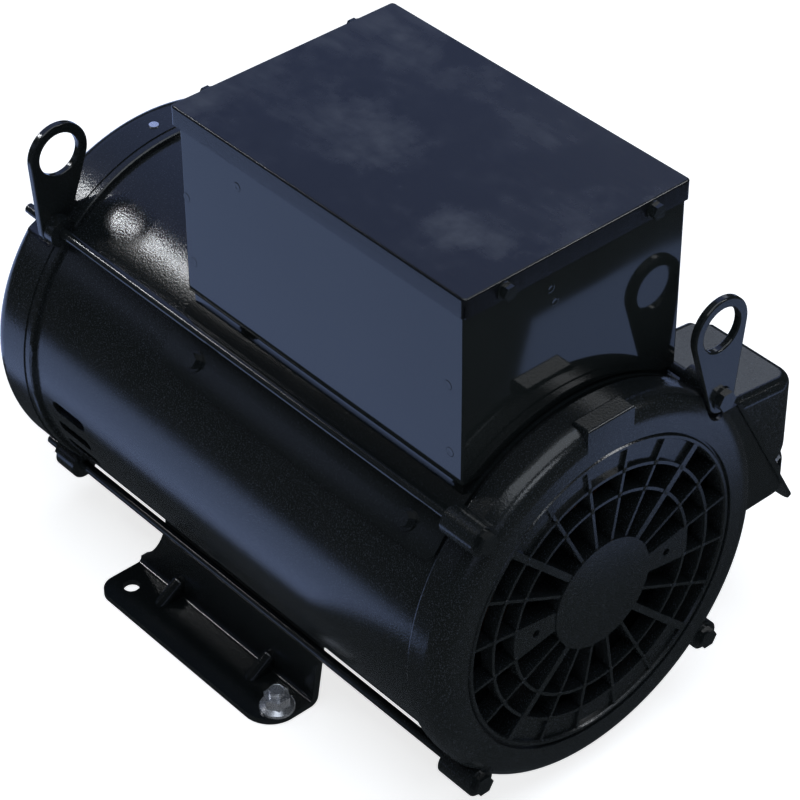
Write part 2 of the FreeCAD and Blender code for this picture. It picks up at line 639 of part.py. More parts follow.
def conduit_base():
    """Wedge on the drum, with a flange along the slanted split."""
    low = 85.0
    inner_low = split_point((CON_TOP[1] - low) / -SPLIT.z, 0)
    shape = [(104, low), (inner_low.x, low), CON_TOP, (104, CON_TOP[1])]
    outer = pushed("con_base_outer", shape, "con_front", "con_depth")
    soft = rounded("con_base_soft", outer, 7, lambda edge: is_straight(edge, V(0, 1, 0)) and
                   edge.BoundBox.XMin > 130 and edge.BoundBox.ZMin < 100)
    wall = 2.4
    hollow = [(100, low + wall), (inner_low.x - 4.6, low + wall), (CON_TOP[0] - 1.6, CON_TOP[1] - wall),
              (100, CON_TOP[1] - wall)]
    inner = pushed("con_base_inner", hollow, f"con_front + {wall}", f"con_depth - {2 * wall}")
    mouth_corners = [split_point(12, -10), split_point(90, -10), split_point(90, 2), split_point(12, 2)]
    mouth = pushed("con_base_mouth", [(p.x, p.z) for p in mouth_corners], f"con_front + {wall + 9}",
                   f"con_depth - {2 * wall + 18}")
    flange_corners = [split_point(-1, -2.2), split_point(118.5, -2.2), split_point(118.5, 0), split_point(-1, 0)]
    flange = pushed("con_flange", [(p.x, p.z) for p in flange_corners], "con_front - 1.5", "con_depth + 3")
    flange_soft = rounded("con_flange_soft", flange, 12, lambda edge: is_straight(edge, OUTWARD) and
                          edge.BoundBox.ZMin < 100)
    tools = [inner, mouth, shaft_cylinder("con_base_drum", "shell_radius", -300, 200),
             rod("con_knockout", V(150, CONDUIT_MIDDLE, low - 5), "con_hole", 12, UPRIGHT)]
    for number, (down, along) in enumerate(COVER_SCREWS):
        tools.append(conduit_pocket(f"con_base_screw_hole_{number}", down, along, -12, 1.95, 14))
    return cut("con_base", fuse("con_base_sum", soft, flange_soft), *tools)


def cover_blank(name, corners, front, length, corner, rim):
    """Triangular prism with rounded upright corners and a rounded upper rim."""
    top, low, out = corners
    down = V(low[0] - out[0], 0, low[1] - out[1]).normalize()
    prism = pushed(name + "_prism", corners, front, length)
    upright = rounded(name + "_corners", prism, corner, lambda edge: is_straight(edge, down))
    return rounded(name + "_rim", upright, rim, lambda edge: edge.BoundBox.ZMin > out[1] - 0.5 and
                   edge.BoundBox.XMax > top[0] + 1)


def conduit_cover():
    """Triangular cover: upper face, outer face and the slanted split."""
    low = split_point((CON_OUT[0] - CON_TOP[0]) / SPLIT.x, 0)
    soft = cover_blank("cover_outer", [CON_TOP, (low.x, low.z), CON_OUT], "con_front", "con_depth", 14, 6.5)
    wall = 2.2
    inner_top, inner_low = split_point(5.2, -1), split_point(98, -1)
    inner_out = (CON_OUT[0] - wall, CON_OUT[1] - wall - 0.3)
    hollow = cover_blank("cover_inner", [(inner_top.x, inner_top.z), (inner_low.x, inner_low.z), inner_out],
                         f"con_front + {wall}", f"con_depth - {2 * wall}", 11.8, 4.5)
    posts, pockets = [], []
    for number, (down, along) in enumerate(COVER_SCREWS):
        posts.append(conduit_pocket(f"cover_post_{number}", down, along, 0, 9.2, 60))
        pockets.append(conduit_pocket(f"cover_pocket_{number}", down, along, 2.2, 7.2, 60))
        pockets.append(conduit_pocket(f"cover_screw_hole_{number}", down, along, -1, 2.1, 5))
    walls = DOC.addObject("Part::MultiCommon", "cover_posts")
    walls.Shapes = [soft, group("cover_post_pair", *posts)]
    shell = cut("cover_shell", soft, hollow)
    return cut("cover", fuse("cover_sum", shell, walls), *pockets)


def cover_screws():
    """Pan head screws that hold the cover to the flange."""
    screws, turn = [], FreeCAD.Rotation(V(0, 0, 1), OUTWARD)
    for number, (down, along) in enumerate(COVER_SCREWS):
        screws.append(hex_washer_screw(f"cover_screw_{number}", split_point(down, 2.2, along), turn, 11,
                                       1.9, 4.6, 7.0))
    return group("cover_screw_set", *screws)


def terminal_board():
    """Insulating board on two posts, and the six studs through it."""
    board = block("board_plate", V(128, -250, 112), 3, 56, 44)
    posts = [rod(f"board_post_{n}", V(117.2, -246 + 48 * n, 116 + 36 * n), 3, 11, ALONG_X) for n in range(2)]
    drum = shaft_cylinder("board_drum", "shell_radius", -300, 200)
    holes, studs = [], []
    for row in range(3):
        for column in range(2):
            spot = V(128, -238 + 16 * row, 124 + 20 * column)
            holes.append(rod(f"board_hole_{row}_{column}", spot - V(1, 0, 0), 2, 5, ALONG_X))
            stud = rod(f"stud_shank_{row}_{column}", spot - V(3, 0, 0), 2, 12, ALONG_X)
            nut = hexagon(f"stud_nut_{row}_{column}", spot + V(3, 0, 0), 7, 3, ALONG_X)
            studs.append(fuse(f"stud_{row}_{column}", stud, nut))
    plate = cut("board", fuse("board_sum", board, *posts), drum, *holes)
    return plate, group("stud_set", *studs)


# ---------------------------------------------------------------- feet
def pressed_rib(name, side, along):
    """Round-backed gusset across the foot's bend, from the flange up onto the web."""
    radius = 4.6
    low, high = V(side * 103.2, along, 2.2), V(side * 89.4, along, 11.4)
    turn = FreeCAD.Rotation(V(0, 0, 1), high - low)
    filler = pushed(name + "_filler", [(low.x, low.z), (high.x, high.z), (side * 87.4, 8.5), (side * 90.8, low.z)],
                    along - radius, 2 * radius)
    return fuse(name, ball(name + "_low", low, radius), ball(name + "_high", high, radius), filler,
                rod(name + "_back", low, radius, (high - low).Length, turn))


def foot(side):
    """Pressed foot: outer flange, leaning web up to the drum, two gusset ribs."""
    name = "left" if side < 0 else "right"
    section = [(124.5, 0), (86, 0), (77.2, 56), (81.4, 56), (90.1, "foot_sheet"), (124.5, "foot_sheet")]
    place = [(f"{side} * ({x})", z) for x, z in section]
    front, length = "-foot_pitch - 10.3", "foot_pitch + 24.5"
    bent = pushed(name + "_foot_bent", place, front, length)
    inner = rounded(name + "_foot_bend", bent, 3, lambda edge: is_straight(edge, V(0, 1, 0)) and
                    abs(abs(edge.BoundBox.XMin) - 90.1) < 0.1)
    outer = rounded(name + "_foot_heel", inner, 6, lambda edge: is_straight(edge, V(0, 1, 0)) and
                    abs(abs(edge.BoundBox.XMin) - 86) < 0.1 and edge.BoundBox.ZMax < 0.1)
    near = num(front)
    flange_near = rounded(name + "_foot_near", outer, 19, lambda edge: is_straight(edge, V(0, 0, 1)) and
                          abs(abs(edge.BoundBox.XMin) - 124.5) < 0.1 and abs(edge.BoundBox.YMin - near) < 0.1)
    flange_far = rounded(name + "_foot_far", flange_near, 12, lambda edge: is_straight(edge, V(0, 0, 1)) and
                         abs(abs(edge.BoundBox.XMin) - 124.5) < 0.1 and edge.BoundBox.YMin > 0)
    ribs = [pressed_rib(f"{name}_rib_{number}", side, along) for number, along in enumerate((-24.0, -110.0))]
    tools = [shaft_cylinder(name + "_foot_drum", "shell_radius", -300, 400),
             rod(name + "_foot_scoop", V(side * 100 - 40, 40, 45), 45, 80, ALONG_X),
             block(name + "_foot_under", V(side * 100 - 30, -150, -10), 60, 180, 10)]
    tools.append(rod(name + "_foot_hole_far", V(side * num("foot_half"), 0, -1), "foot_hole", 8, UPRIGHT))
    near_hole = V(side * num("foot_half"), -num("foot_pitch"), -1)
    if side < 0:
        tools.append(rod("left_stud_hole", near_hole, 4.8, 8, UPRIGHT))
        tools.append(rod("left_stud_seat", near_hole, 8, 3, UPRIGHT))
    else:
        tools.append(rod("right_foot_hole_near", near_hole, "foot_hole", 8, UPRIGHT))
    return cut(name + "_foot_cut", fuse(name + "_foot_sum", flange_far, *ribs), *tools)


def stud_and_nut():
    """Flush stud in the left foot's front hole, with a washer-faced nut on it."""
    base = V(-num("foot_half"), -num("foot_pitch"), 0)
    seat = V(0, 0, num("foot_sheet"))
    shank = rod("foot_stud_shank", base, 4.76, 17.5, UPRIGHT)
    tip = bevelled("foot_stud_tip", shank, 0.9, lambda edge: is_level_circle(edge, 4.76) and
                   edge.BoundBox.ZMin > 10)
    stud = fuse("stud_whole", tip, rod("foot_stud_head", base, 7.9, 2, UPRIGHT))
    body = fuse("flange_nut_sum", rod("flange_nut_washer", base + seat, 10.6, 1.6, UPRIGHT),
                bind(DOC.addObject("Part::Cone", "flange_nut_skirt"), base + seat + V(0, 0, 1.6), UPRIGHT,
                     Radius1=10.2, Radius2=7.4, Height=2),
                hexagon("flange_nut_hex", base + seat, 14.3, 9.6, UPRIGHT))
    nut = cut("flange_nut", body, rod("flange_nut_bore", base + seat - V(0, 0, 1), 4.76, 14, UPRIGHT))
    return stud, nut


# ---------------------------------------------------------------- stator and rotor
SLOTS = 36
BARS = 28


def stator():
    """Laminated core with open slots, and the winding that fills them."""
    core = turned("core_ring", [("bore_radius", "core_front"), ("shell_radius - shell_wall", "core_front"),
                                ("shell_radius - shell_wall", "core_back"), ("bore_radius", "core_back")])
    long = "core_back - core_front"
    slots, bars = [], []
    for number in range(SLOTS):
        turn = turn_about_shaft(number * 360 / SLOTS)
        for kind, inner, deep, wide in (("slot", 73, 21, 6.4), ("mouth", 69, 5, 2.6)):
            corner = AXIS + turn.multVec(V(inner, 0, -wide / 2)) + V(0, num("core_front"), 0)
            slots.append(block(f"{kind}_{number}", corner, deep, long, wide, turn))
        corner = AXIS + turn.multVec(V(73.2, 0, -3.0)) + V(0, num("core_front") - 8, 0)
        bars.append(block(f"slot_bar_{number}", corner, 20.6, long + " + 16", 6.0, turn))
    rings = []
    for end, start, stop in (("front", "core_front - 38", "core_front - 4"), ("back", "core_back + 4",
                                                                              "core_back + 38")):
        ring = turned(f"end_turn_{end}", [(74, start), (97, start), (97, stop), (74, stop)])
        rings.append(rounded(f"end_turn_soft_{end}", ring, 8, lambda edge: isinstance(edge.Curve, Part.Circle)))
    lamination = cut("core", core, fuse("slot_tools", *slots))
    return lamination, fuse("winding", *rings, *bars)


def baffle(name, rim, lip, nose):
    """Thin cone that turns the air from the end winding to the rotor's blades."""
    return turned(name, [(113.4, rim), (113.4, lip), (112.2, lip), (110, f"{rim} + ({nose}) * 0.1"),
                         (79, f"{rim} + ({nose})"), (78, f"{rim} + ({nose}) * 0.88")])


def rotor():
    """Rotor laminations on the shaft, and the cast cage that runs through them."""
    core = turned("rotor_ring", [(20, "core_front"), ("rotor_radius", "core_front"),
                                 ("rotor_radius", "core_back"), (20, "core_back")])
    holes, bars, blades = [], [], []
    for number in range(BARS):
        spot = AXIS + polar(63, number * 360 / BARS)
        holes.append(rod(f"bar_hole_{number}", spot + V(0, num("core_front"), 0), 3.2,
                         "core_back - core_front"))
        bars.append(rod(f"bar_{number}", spot + V(0, num("core_front"), 0), 3.2, "core_back - core_front"))
    for number in range(12):
        turn = turn_about_shaft(number * 30)
        for end, start in (("front", num("core_front") - 26), ("back", num("core_back") + 11)):
            corner = AXIS + turn.multVec(V(51, 0, -1.5)) + V(0, start, 0)
            blades.append(block(f"blade_{end}_{number}", corner, 16, 15, 3, turn))
    rings = [turned("cage_front", [(48, "core_front - 12"), (68.4, "core_front - 12"), (68.4, "core_front"),
                                   (48, "core_front")]),
             turned("cage_back", [(48, "core_back"), (68.4, "core_back"), (68.4, "core_back + 12"),
                                  (48, "core_back + 12")])]
    return cut("rotor_cut", core, *holes), fuse("cage", *rings, *bars, *blades)


def shaft():
    """Stepped shaft with a keyway in its extension."""
    tip = "shaft_shoulder + shaft_length"
    steps = [(0, -285.2), (14, -285.2), (15, -284.2), (15, -269), (18.5, -269), (18.5, "core_front"),
             (20, "core_front"), (20, "core_back + 10"), (21.5, "core_back + 10"), (21.5, "core_back + 14"),
             (20, "core_back + 14"), (20, 79), (17.5, 79), (17.5, 100), ("relief_radius", 100),
             ("relief_radius", "shaft_shoulder"), ("shaft_radius", "shaft_shoulder"),
             ("shaft_radius", f"{tip} - 1.5"), ("shaft_radius - 1.5", tip), (0, tip)]
    whole = turned("shaft_whole", steps)
    start = num("shaft_shoulder") + 11
    way = block("keyway", AXIS + V(-num("key_side") / 2, start, num("key_bottom")), "key_side", 61.2, 10)
    return cut("shaft_cut", whole, way)


def slinger():
    """Rubber ring on the shaft just outside the rear bell."""
    return turned("slinger_ring", [("relief_radius", 107.6), (26, 107.6), (26, 109), (21, 109.6), (21, 111.1),
                                   ("relief_radius", 111.1)])


def bearing(prefix, front, width, bore, outer, pitch, ball_radius, balls, inner_edge, outer_edge):
    """Deep groove ball bearing as outer ring, inner ring, balls and cage."""
    middle = front + width / 2
    groove = ball_radius + 0.05
    centre = AXIS + V(0, middle, 0)
    outer_ring = cut(prefix + "_outer_cut",
                     turned(prefix + "_outer_blank", [(outer_edge, front), (outer, front), (outer, front + width),
                                                      (outer_edge, front + width)]),
                     torus(prefix + "_outer_groove", centre, pitch, groove))
    inner_ring = cut(prefix + "_inner_cut",
                     turned(prefix + "_inner_blank", [(bore, front), (inner_edge, front),
                                                      (inner_edge, front + width), (bore, front + width)]),
                     torus(prefix + "_inner_groove", centre, pitch, groove))
    spots = [centre + polar(pitch, number * 360 / balls) for number in range(balls)]
    ball_set = group(prefix + "_ball_group", *[ball(f"{prefix}_ball_{number}", spot, ball_radius)
                                               for number, spot in enumerate(spots)])
    thin = 1.3
    blank = turned(prefix + "_cage_blank", [(pitch - thin, middle - ball_radius - 1.2),
                                            (pitch + thin, middle - ball_radius - 1.2),
                                            (pitch + thin, middle + ball_radius + 1.2),
                                            (pitch - thin, middle + ball_radius + 1.2)])
    pockets = [radial_rod(f"{prefix}_pocket_{number}", pitch - 4, number * 360 / balls, middle,
                          ball_radius + 0.06, 8) for number in range(balls)]
    return outer_ring, inner_ring, ball_set, cut(prefix + "_cage_cut", blank, *pockets)


def bearing_cap():
    """Inner cover of the rear bearing and its three screws from outside."""
    cap = turned("cap_ring", [(21.2, 72.8), (46, 72.8), (46, 76.9), (39.9, 76.9), (39.9, 78.9), (34, 78.9),
                              (34, 76.9), (21.2, 76.9)])
    lugs = [rod(f"cap_lug_{tilt}", AXIS + polar(CAP_SCREW_RING, tilt, 72.8), 6.5, 4.1) for tilt in CAP_SCREW_TILTS]
    holes = [rod(f"cap_hole_{tilt}", AXIS + polar(CAP_SCREW_RING, tilt, 70), 2.5, 10) for tilt in CAP_SCREW_TILTS]
    face = num("face_back")
    screws = []
    for tilt in CAP_SCREW_TILTS:
        seat = AXIS + polar(CAP_SCREW_RING, tilt, face)
        screws.append(hex_washer_screw(f"cap_screw_{tilt}", seat, ALONG_Y, face - 71, 2.45, 5.6, 8.0))
    return cut("cap", fuse("cap_sum", cap, *lugs), *holes), group("cap_screw_set", *screws)


def main():
    piece(frame_shell(), "frame_shell")
    piece(front_bell(), "front_end_bell")
    piece(rear_bell(), "rear_end_bell")
    bolts, nuts = bolt_set()
    piece(bolts, "through_bolts")
    piece(nuts, "through_bolt_nuts")
    piece(lifting_lug("front_lug", FRONT_LUG_CORNER, FRONT_LUG_SEAT - num("lug_sheet"), -LUG_LEAN_FRONT),
          "front_lifting_lug")
    piece(lifting_lug("rear_lug", REAR_LUG_CORNER, REAR_LUG_SEAT, LUG_LEAN_BACK), "rear_lifting_lug")
    piece(saddle_plate(), "saddle_plate")
    piece(saddle_screws(), "saddle_screws")
    piece(box_riser(), "box_riser")
    piece(capacitor_box(), "capacitor_box")
    piece(box_lid(), "box_lid")
    piece(lid_screws(), "lid_screws")
    piece(capacitors("run_can", RUN_SPOTS, 22.5, 76), "run_capacitors")
    piece(capacitors("start_can", START_SPOTS, 18.5, 70), "start_capacitors")
    piece(capacitor_clamps(), "capacitor_clamps")
    piece(start_relay(), "start_relay")
    piece(terminal_strip(), "terminal_strip")
    floor = num("box_floor + box_sheet")
    piece(grommet("box_ring", V(0, LEAD_ALONG, floor), UPRIGHT, 8.5, 12.4, floor - 249), "box_grommet")
    piece(rod("cap_leads", V(0, LEAD_ALONG, AXIS.z + 97.2), 8.5, floor + 20 - AXIS.z - 97.2, UPRIGHT),
          "capacitor_leads")
    lead_hole = V(num("shell_radius + 0.5"), CONDUIT_MIDDLE, AXIS.z)
    piece(grommet("conduit_ring", lead_hole, ALONG_X, 8.5, 15.9, 14), "conduit_grommet")
    piece(rod("motor_lead_sleeve", lead_hole - V(14, 0, 0), 8.5, 20, ALONG_X), "motor_leads")
    piece(conduit_base(), "conduit_box_base")
    piece(conduit_cover(), "conduit_box_cover")
    piece(cover_screws(), "conduit_cover_screws")
    board, studs = terminal_board()
    piece(board, "terminal_board")
    piece(studs, "terminal_studs")
    piece(foot(-1), "left_foot")
    piece(foot(1), "right_foot")
    stud, nut = stud_and_nut()
    piece(stud, "foot_stud")
    piece(nut, "foot_flange_nut")
    piece(grease_plug(), "grease_plug")
    core, winding = stator()
    piece(core, "stator_core")
    piece(winding, "stator_winding")
    piece(baffle("air_front", -266, -258, 16), "front_baffle")
    piece(baffle("air_back", 32, 24, -16), "rear_baffle")
    rotor_core, cage = rotor()
    piece(rotor_core, "rotor_core")
    piece(cage, "rotor_cage")
    piece(shaft(), "shaft")
    piece(slinger(), "shaft_slinger")
    small = bearing("small", -285, 16, 15, 31, 23.25, 4.72, 9, 19.6, 26.9)
    large = bearing("large", 79, 21, 17.5, 40, 28.75, 6.7, 8, 24.3, 33.2)
    for end, parts in (("front", small), ("rear", large)):
        for part, kind in zip(parts, ("outer_ring", "inner_ring", "balls", "cage")):
            piece(part, f"{end}_bearing_{kind}")
    piece(turned("spring_ring", [(26, -288.4), (30.6, -288.4), (30.6, -285), (26, -285)]), "wave_spring")
    cap, cap_screws = bearing_cap()
    piece(cap, "rear_bearing_cap")
    piece(cap_screws, "bearing_cap_screws")
    DOC.recompute()
    for item in DOC.Objects:
        if "Invalid" in item.State or "Error" in item.State:
            raise RuntimeError(f"{item.Name} failed: {item.State}")
    os.makedirs("parts", exist_ok=True)
    for item in PIECES:
        if item.Shape.isNull() or not item.Shape.isValid():
            raise RuntimeError(f"{item.Label} has no valid shape")
        item.Shape.exportStep(f"parts/{item.Label}.step")
        print(f"{item.Label:24s} solids {len(item.Shape.Solids):3d}  volume {item.Shape.Volume / 1000:9.2f} cm3")


main()
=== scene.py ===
"""Open drip-proof electric motor: glossy black paint over the CAD frame, in a pale studio."""

import json
import math
import random

import bmesh
import bpy
from mathutils import Matrix, Vector


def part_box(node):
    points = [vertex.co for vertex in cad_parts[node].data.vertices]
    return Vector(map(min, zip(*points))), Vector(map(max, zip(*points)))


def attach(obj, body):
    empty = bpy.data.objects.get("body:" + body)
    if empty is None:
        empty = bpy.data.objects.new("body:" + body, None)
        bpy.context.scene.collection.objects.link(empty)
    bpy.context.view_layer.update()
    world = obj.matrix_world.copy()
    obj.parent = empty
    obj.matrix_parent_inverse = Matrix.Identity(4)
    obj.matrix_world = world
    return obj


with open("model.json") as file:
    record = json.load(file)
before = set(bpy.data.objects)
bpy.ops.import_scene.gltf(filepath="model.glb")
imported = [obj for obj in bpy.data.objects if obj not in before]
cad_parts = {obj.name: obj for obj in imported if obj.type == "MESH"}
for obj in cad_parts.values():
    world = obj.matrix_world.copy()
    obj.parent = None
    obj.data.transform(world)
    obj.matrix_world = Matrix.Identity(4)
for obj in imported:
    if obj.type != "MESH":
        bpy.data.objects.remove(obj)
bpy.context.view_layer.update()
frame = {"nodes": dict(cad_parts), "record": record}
NODES = frame["nodes"]
MM = 0.001
AXIS_HEIGHT = 0.13335
DRUM_RADIUS = 117.5 * MM
FOOT_WEB = 81.6 * MM
BOLT_HALF = 88 * MM
GRILLE_RINGS = (80.9 * MM, 65.0 * MM)
GRILLE_SPOKES = 20
BLACK_ENAMEL = (0.0062, 0.0078, 0.0080)
# Painted sparkle: pale bluish speck colour that stands in for glints on the enamel.
PAINTED_SPARKLE = (0.085, 0.097, 0.135)
TABLE_BLUE = (0.42, 0.57, 1.0)
LAMP_WHITE = (0.93, 0.96, 1.0)


# ---------------------------------------------------------------- camera
def make_camera():
    """Camera above the free end, to its left, with the framing of a long lens."""
    data = bpy.data.cameras.new("camera")
    data.sensor_width = 36.0
    data.lens = 135.74
    data.shift_x = -0.0350
    data.shift_y = -0.0676
    data.clip_end = 50.0
    camera = bpy.data.objects.new("camera", data)
    right = Vector((0.74588, -0.66608, 0.00185))
    back = Vector((-0.52694, -0.58837, 0.61331))
    up = back.cross(right)
    turn = Matrix((right, up, back)).transposed().to_4x4()
    camera.matrix_world = Matrix.Translation((-0.8837, -1.1369, 1.2492)) @ turn
    bpy.context.scene.collection.objects.link(camera)
    bpy.context.scene.camera = camera


# ---------------------------------------------------------------- studio
def area_light(name, place, target, size, power, colour=(1, 1, 1)):
    data = bpy.data.lights.new(name, "AREA")
    data.shape = "RECTANGLE"
    data.size, data.size_y = size
    data.energy = power
    data.color = colour
    lamp = bpy.data.objects.new(name, data)
    lamp.location = place
    lamp.rotation_mode = "QUATERNION"
    lamp.rotation_quaternion = (Vector(target) - Vector(place)).to_track_quat("-Z", "Y")
    bpy.context.scene.collection.objects.link(lamp)
    return lamp


def make_world():
    """Dim bluish room; the cards and lamps do the rest."""
    world = bpy.data.worlds.new("studio")
    bpy.context.scene.world = world
    world.use_nodes = True
    shine = world.node_tree.nodes["Background"]
    shine.inputs["Color"].default_value = (0.75, 0.85, 1.0, 1)
    shine.inputs["Strength"].default_value = 0.035


def flat_piece(name, corners, material):
    mesh = bpy.data.meshes.new(name)
    mesh.from_pydata(corners, [], [tuple(range(len(corners)))])
    mesh.materials.append(material)
    piece = bpy.data.objects.new(name, mesh)
    bpy.context.scene.collection.objects.link(piece)
    return piece


def make_floor():
    material, bsdf, _ = new_material("floor_white")
    bsdf.inputs["Base Color"].default_value = (0.93, 0.93, 0.94, 1)
    bsdf.inputs["Roughness"].default_value = 0.9
    bsdf.inputs["Specular IOR Level"].default_value = 0.0
    bsdf.inputs["Emission Color"].default_value = (1, 1, 1, 1)
    bsdf.inputs["Emission Strength"].default_value = 0.78
    size, down = 12.0, -0.0005
    corners = [(-size, -size, down), (size, -size, down), (size, size, down), (-size, size, down)]
    floor = flat_piece("floor", corners, material)
    floor.visible_glossy = False


def reflector(name, corners, colour, strength):
    """Card that only shows in reflections."""
    material = bpy.data.materials.new(name)
    material.use_nodes = True
    tree = material.node_tree
    tree.nodes.clear()
    glow = tree.nodes.new("ShaderNodeEmission")
    out = tree.nodes.new("ShaderNodeOutputMaterial")
    glow.inputs["Color"].default_value = (*colour, 1)
    glow.inputs["Strength"].default_value = strength
    tree.links.new(glow.outputs[0], out.inputs["Surface"])
    card = flat_piece(name, corners, material)
    card.visible_camera = False
    card.visible_diffuse = False
    card.visible_shadow = False
    card.visible_transmission = False


def standing_card(name, centre, towards, width, height, colour, strength):
    """Upright card that faces a point."""
    centre, towards = Vector(centre), Vector(towards)
    out = (towards - centre).normalized()
    side = Vector((0, 0, 1)).cross(out).normalized()
    up = out.cross(side)
    across, above = side * width / 2, up * height / 2
    corners = [centre - across - above, centre + across - above,
               centre + across + above, centre - across + above]
    reflector(name, [tuple(c) for c in corners], colour, strength)


def strip(name, start, end, target, width, colour, strength):
    """Long glowing card between two points, turned to face a target."""
    start, end, target = Vector(start), Vector(end), Vector(target)
    across = (end - start).cross(target - (start + end) / 2).normalized() * width / 2
    corners = [start - across, end - across, end + across, start + across]
    reflector(name, [tuple(c) for c in corners], colour, strength)


def make_studio():
    """Room, floor, a blue table that shows only in the paint, pale cards round it, and three lamps."""
    make_world()
    make_floor()
    level, near, far = -0.0002, 0.26, 2.0
    left, edge, right = -0.42, -0.175, 1.20
    reflector("table_left", [(left, -0.09, level), (edge, -0.09, level), (edge, near, level),
                             (left, 0.40, level)], TABLE_BLUE, 1.08)
    reflector("table_back", [(left, 0.40, level), (edge, near, level), (right, near, level),
                             (right, far, level), (left, far, level)], TABLE_BLUE, 1.14)
    reflector("table_right", [(0.262, -0.565, level), (right, -0.565, level), (right, -0.43, level),
                              (0.10, -0.43, level)], TABLE_BLUE, 0.74)
    for name, centre, towards, width, height, colour, strength in (
            ("card_behind", (1.05, 1.25, 1.55), (0, 0, 0.3), 2.6, 1.3, (0.40, 0.52, 1.0), 0.66),
            ("card_behind_left", (-0.20, 1.85, 1.75), (0, 0, 0.3), 1.0, 1.5, (0.44, 0.55, 1.0), 0.60),
            ("card_right_low", (1.63, 0.87, 1.15), (0.2, -0.15, 0.25), 0.60, 0.42, (0.76, 0.84, 1.0), 1.3),
            ("card_left", (-1.41, 1.41, 0.82), (0, -0.1, 0.2), 1.1, 0.36, (0.55, 0.66, 1.0), 0.30),
            ("card_above", (0.80, -0.15, 2.05), (0, -0.2, 0.2), 0.60, 0.50, (0.66, 0.78, 1.0), 1.6),
            ("card_front_right", (1.25, -1.40, 1.43), (0.1, -0.25, 0.25), 0.55, 0.40, LAMP_WHITE, 9.0),
            ("card_front_left", (-1.6, -2.2, 1.2), (0, 0, 0.2), 1.6, 0.8, (0.60, 0.70, 1.0), 0.40)):
        standing_card(name, centre, towards, width, height, colour, strength)
    strip("softbox_small", (-0.575, 1.11, 1.22), (-0.565, 0.99, 1.23), (-0.06, 0.05, 0.23), 0.12,
          LAMP_WHITE, 50)
    strip("softbox_long", (-0.60, 0.93, 1.23), (-0.623, 0.82, 1.246), (-0.07, 0.0, 0.23), 0.13,
          LAMP_WHITE, 16)
    area_light("softbox_key", (-0.66, 0.97, 1.17), (-0.07, 0.0, 0.229), (0.30, 0.12), 0.7)
    area_light("softbox_top", (0.0, -0.4, 3.0), (0, -0.1, 0), (3.2, 3.2), 52, (0.85, 0.92, 1.0))
    area_light("softbox_front", (-0.2, -2.4, 1.9), (0, -0.2, 0.2), (1.2, 0.5), 6, (0.85, 0.92, 1.0))


# ---------------------------------------------------------------- materials
def new_material(name):
    material = bpy.data.materials.new(name)
    material.use_nodes = True
    tree = material.node_tree
    bsdf = tree.nodes["Principled BSDF"]
    return material, bsdf, tree


def object_place(tree):
    """Position in the row frame, in metres; the CAD objects sit at the origin."""
    return tree.nodes.new("ShaderNodeTexCoord").outputs["Object"]


def stretch(tree, place, scale):
    mapping = tree.nodes.new("ShaderNodeMapping")
    mapping.inputs["Scale"].default_value = scale
    tree.links.new(place, mapping.inputs["Vector"])
    return mapping.outputs["Vector"]


def noise(tree, place, scale, detail=3.0, rough=0.5):
    node = tree.nodes.new("ShaderNodeTexNoise")
    node.inputs["Scale"].default_value = scale
    node.inputs["Detail"].default_value = detail
    node.inputs["Roughness"].default_value = rough
    tree.links.new(place, node.inputs["Vector"])
    return node.outputs["Fac"]


def remap(tree, value, low, high, to_low, to_high):
    node = tree.nodes.new("ShaderNodeMapRange")
    for label, number in (("From Min", low), ("From Max", high), ("To Min", to_low), ("To Max", to_high)):
        node.inputs[label].default_value = number
    tree.links.new(value, node.inputs["Value"])
    return node.outputs["Result"]


def combine(tree, kind, first, second):
    node = tree.nodes.new("ShaderNodeMath")
    node.operation = kind
    for socket, value in zip(node.inputs, (first, second)):
        if isinstance(value, (int, float)):
            socket.default_value = value
        else:
            tree.links.new(value, socket)
    return node.outputs[0]


def mix_colour(tree, factor, first, second):
    node = tree.nodes.new("ShaderNodeMix")
    node.data_type = "RGBA"
    tree.links.new(factor, node.inputs["Factor"])
    node.inputs["A"].default_value = (*first, 1)
    node.inputs["B"].default_value = (*second, 1)
    return node.outputs["Result"]


def blend(tree, factor, first, second):
    """Mix a colour output towards a plain colour."""
    node = tree.nodes.new("ShaderNodeMix")
    node.data_type = "RGBA"
    tree.links.new(factor, node.inputs["Factor"])
    tree.links.new(first, node.inputs["A"])
    node.inputs["B"].default_value = (*second, 1)
    return node.outputs["Result"]


def add_bump(tree, bsdf, height, distance, strength=1.0, before=None):
    bump = tree.nodes.new("ShaderNodeBump")
    bump.inputs["Strength"].default_value = strength
    bump.inputs["Distance"].default_value = distance
    tree.links.new(height, bump.inputs["Height"])
    if before is not None:
        tree.links.new(before, bump.inputs["Normal"])
    tree.links.new(bump.outputs["Normal"], bsdf.inputs["Normal"])
    return bump.outputs["Normal"]


def gloss_paint(name, peel, peel_size, rough, dust=0.0, wave=0.0, grain=0.0):
    """Black enamel. peel is the height of its orange peel, wave that of the sheet, grain the strength of
    its pale specks, a painted sparkle that stands in for glints.
    """
    material, bsdf, tree = new_material(name)
    place = object_place(tree)
    blotch = noise(tree, place, 14, 4, 0.6)
    fine = noise(tree, place, 1 / peel_size, 2, 0.5)
    bsdf.inputs["IOR"].default_value = 1.52
    cloud = mix_colour(tree, blotch, BLACK_ENAMEL, [1.6 * c for c in BLACK_ENAMEL])
    # Painted sparkle: pale bluish specks mixed into the base colour stand in for glints.
    if grain:
        specks = remap(tree, noise(tree, place, 1300, 2, 0.6), 0.56, 0.72, 0, grain)
        cloud = blend(tree, specks, cloud, PAINTED_SPARKLE)
    tree.links.new(cloud, bsdf.inputs["Base Color"])
    roughness = remap(tree, blotch, 0.3, 0.75, rough, rough * 1.35)
    tree.links.new(roughness, bsdf.inputs["Roughness"])
    normal = None
    if wave:
        normal = add_bump(tree, bsdf, noise(tree, place, 9, 1, 0.4), wave)
    if peel:
        add_bump(tree, bsdf, fine, peel, 1.0, normal)
    if dust:
        add_dust(tree, bsdf, place, dust)
    return material


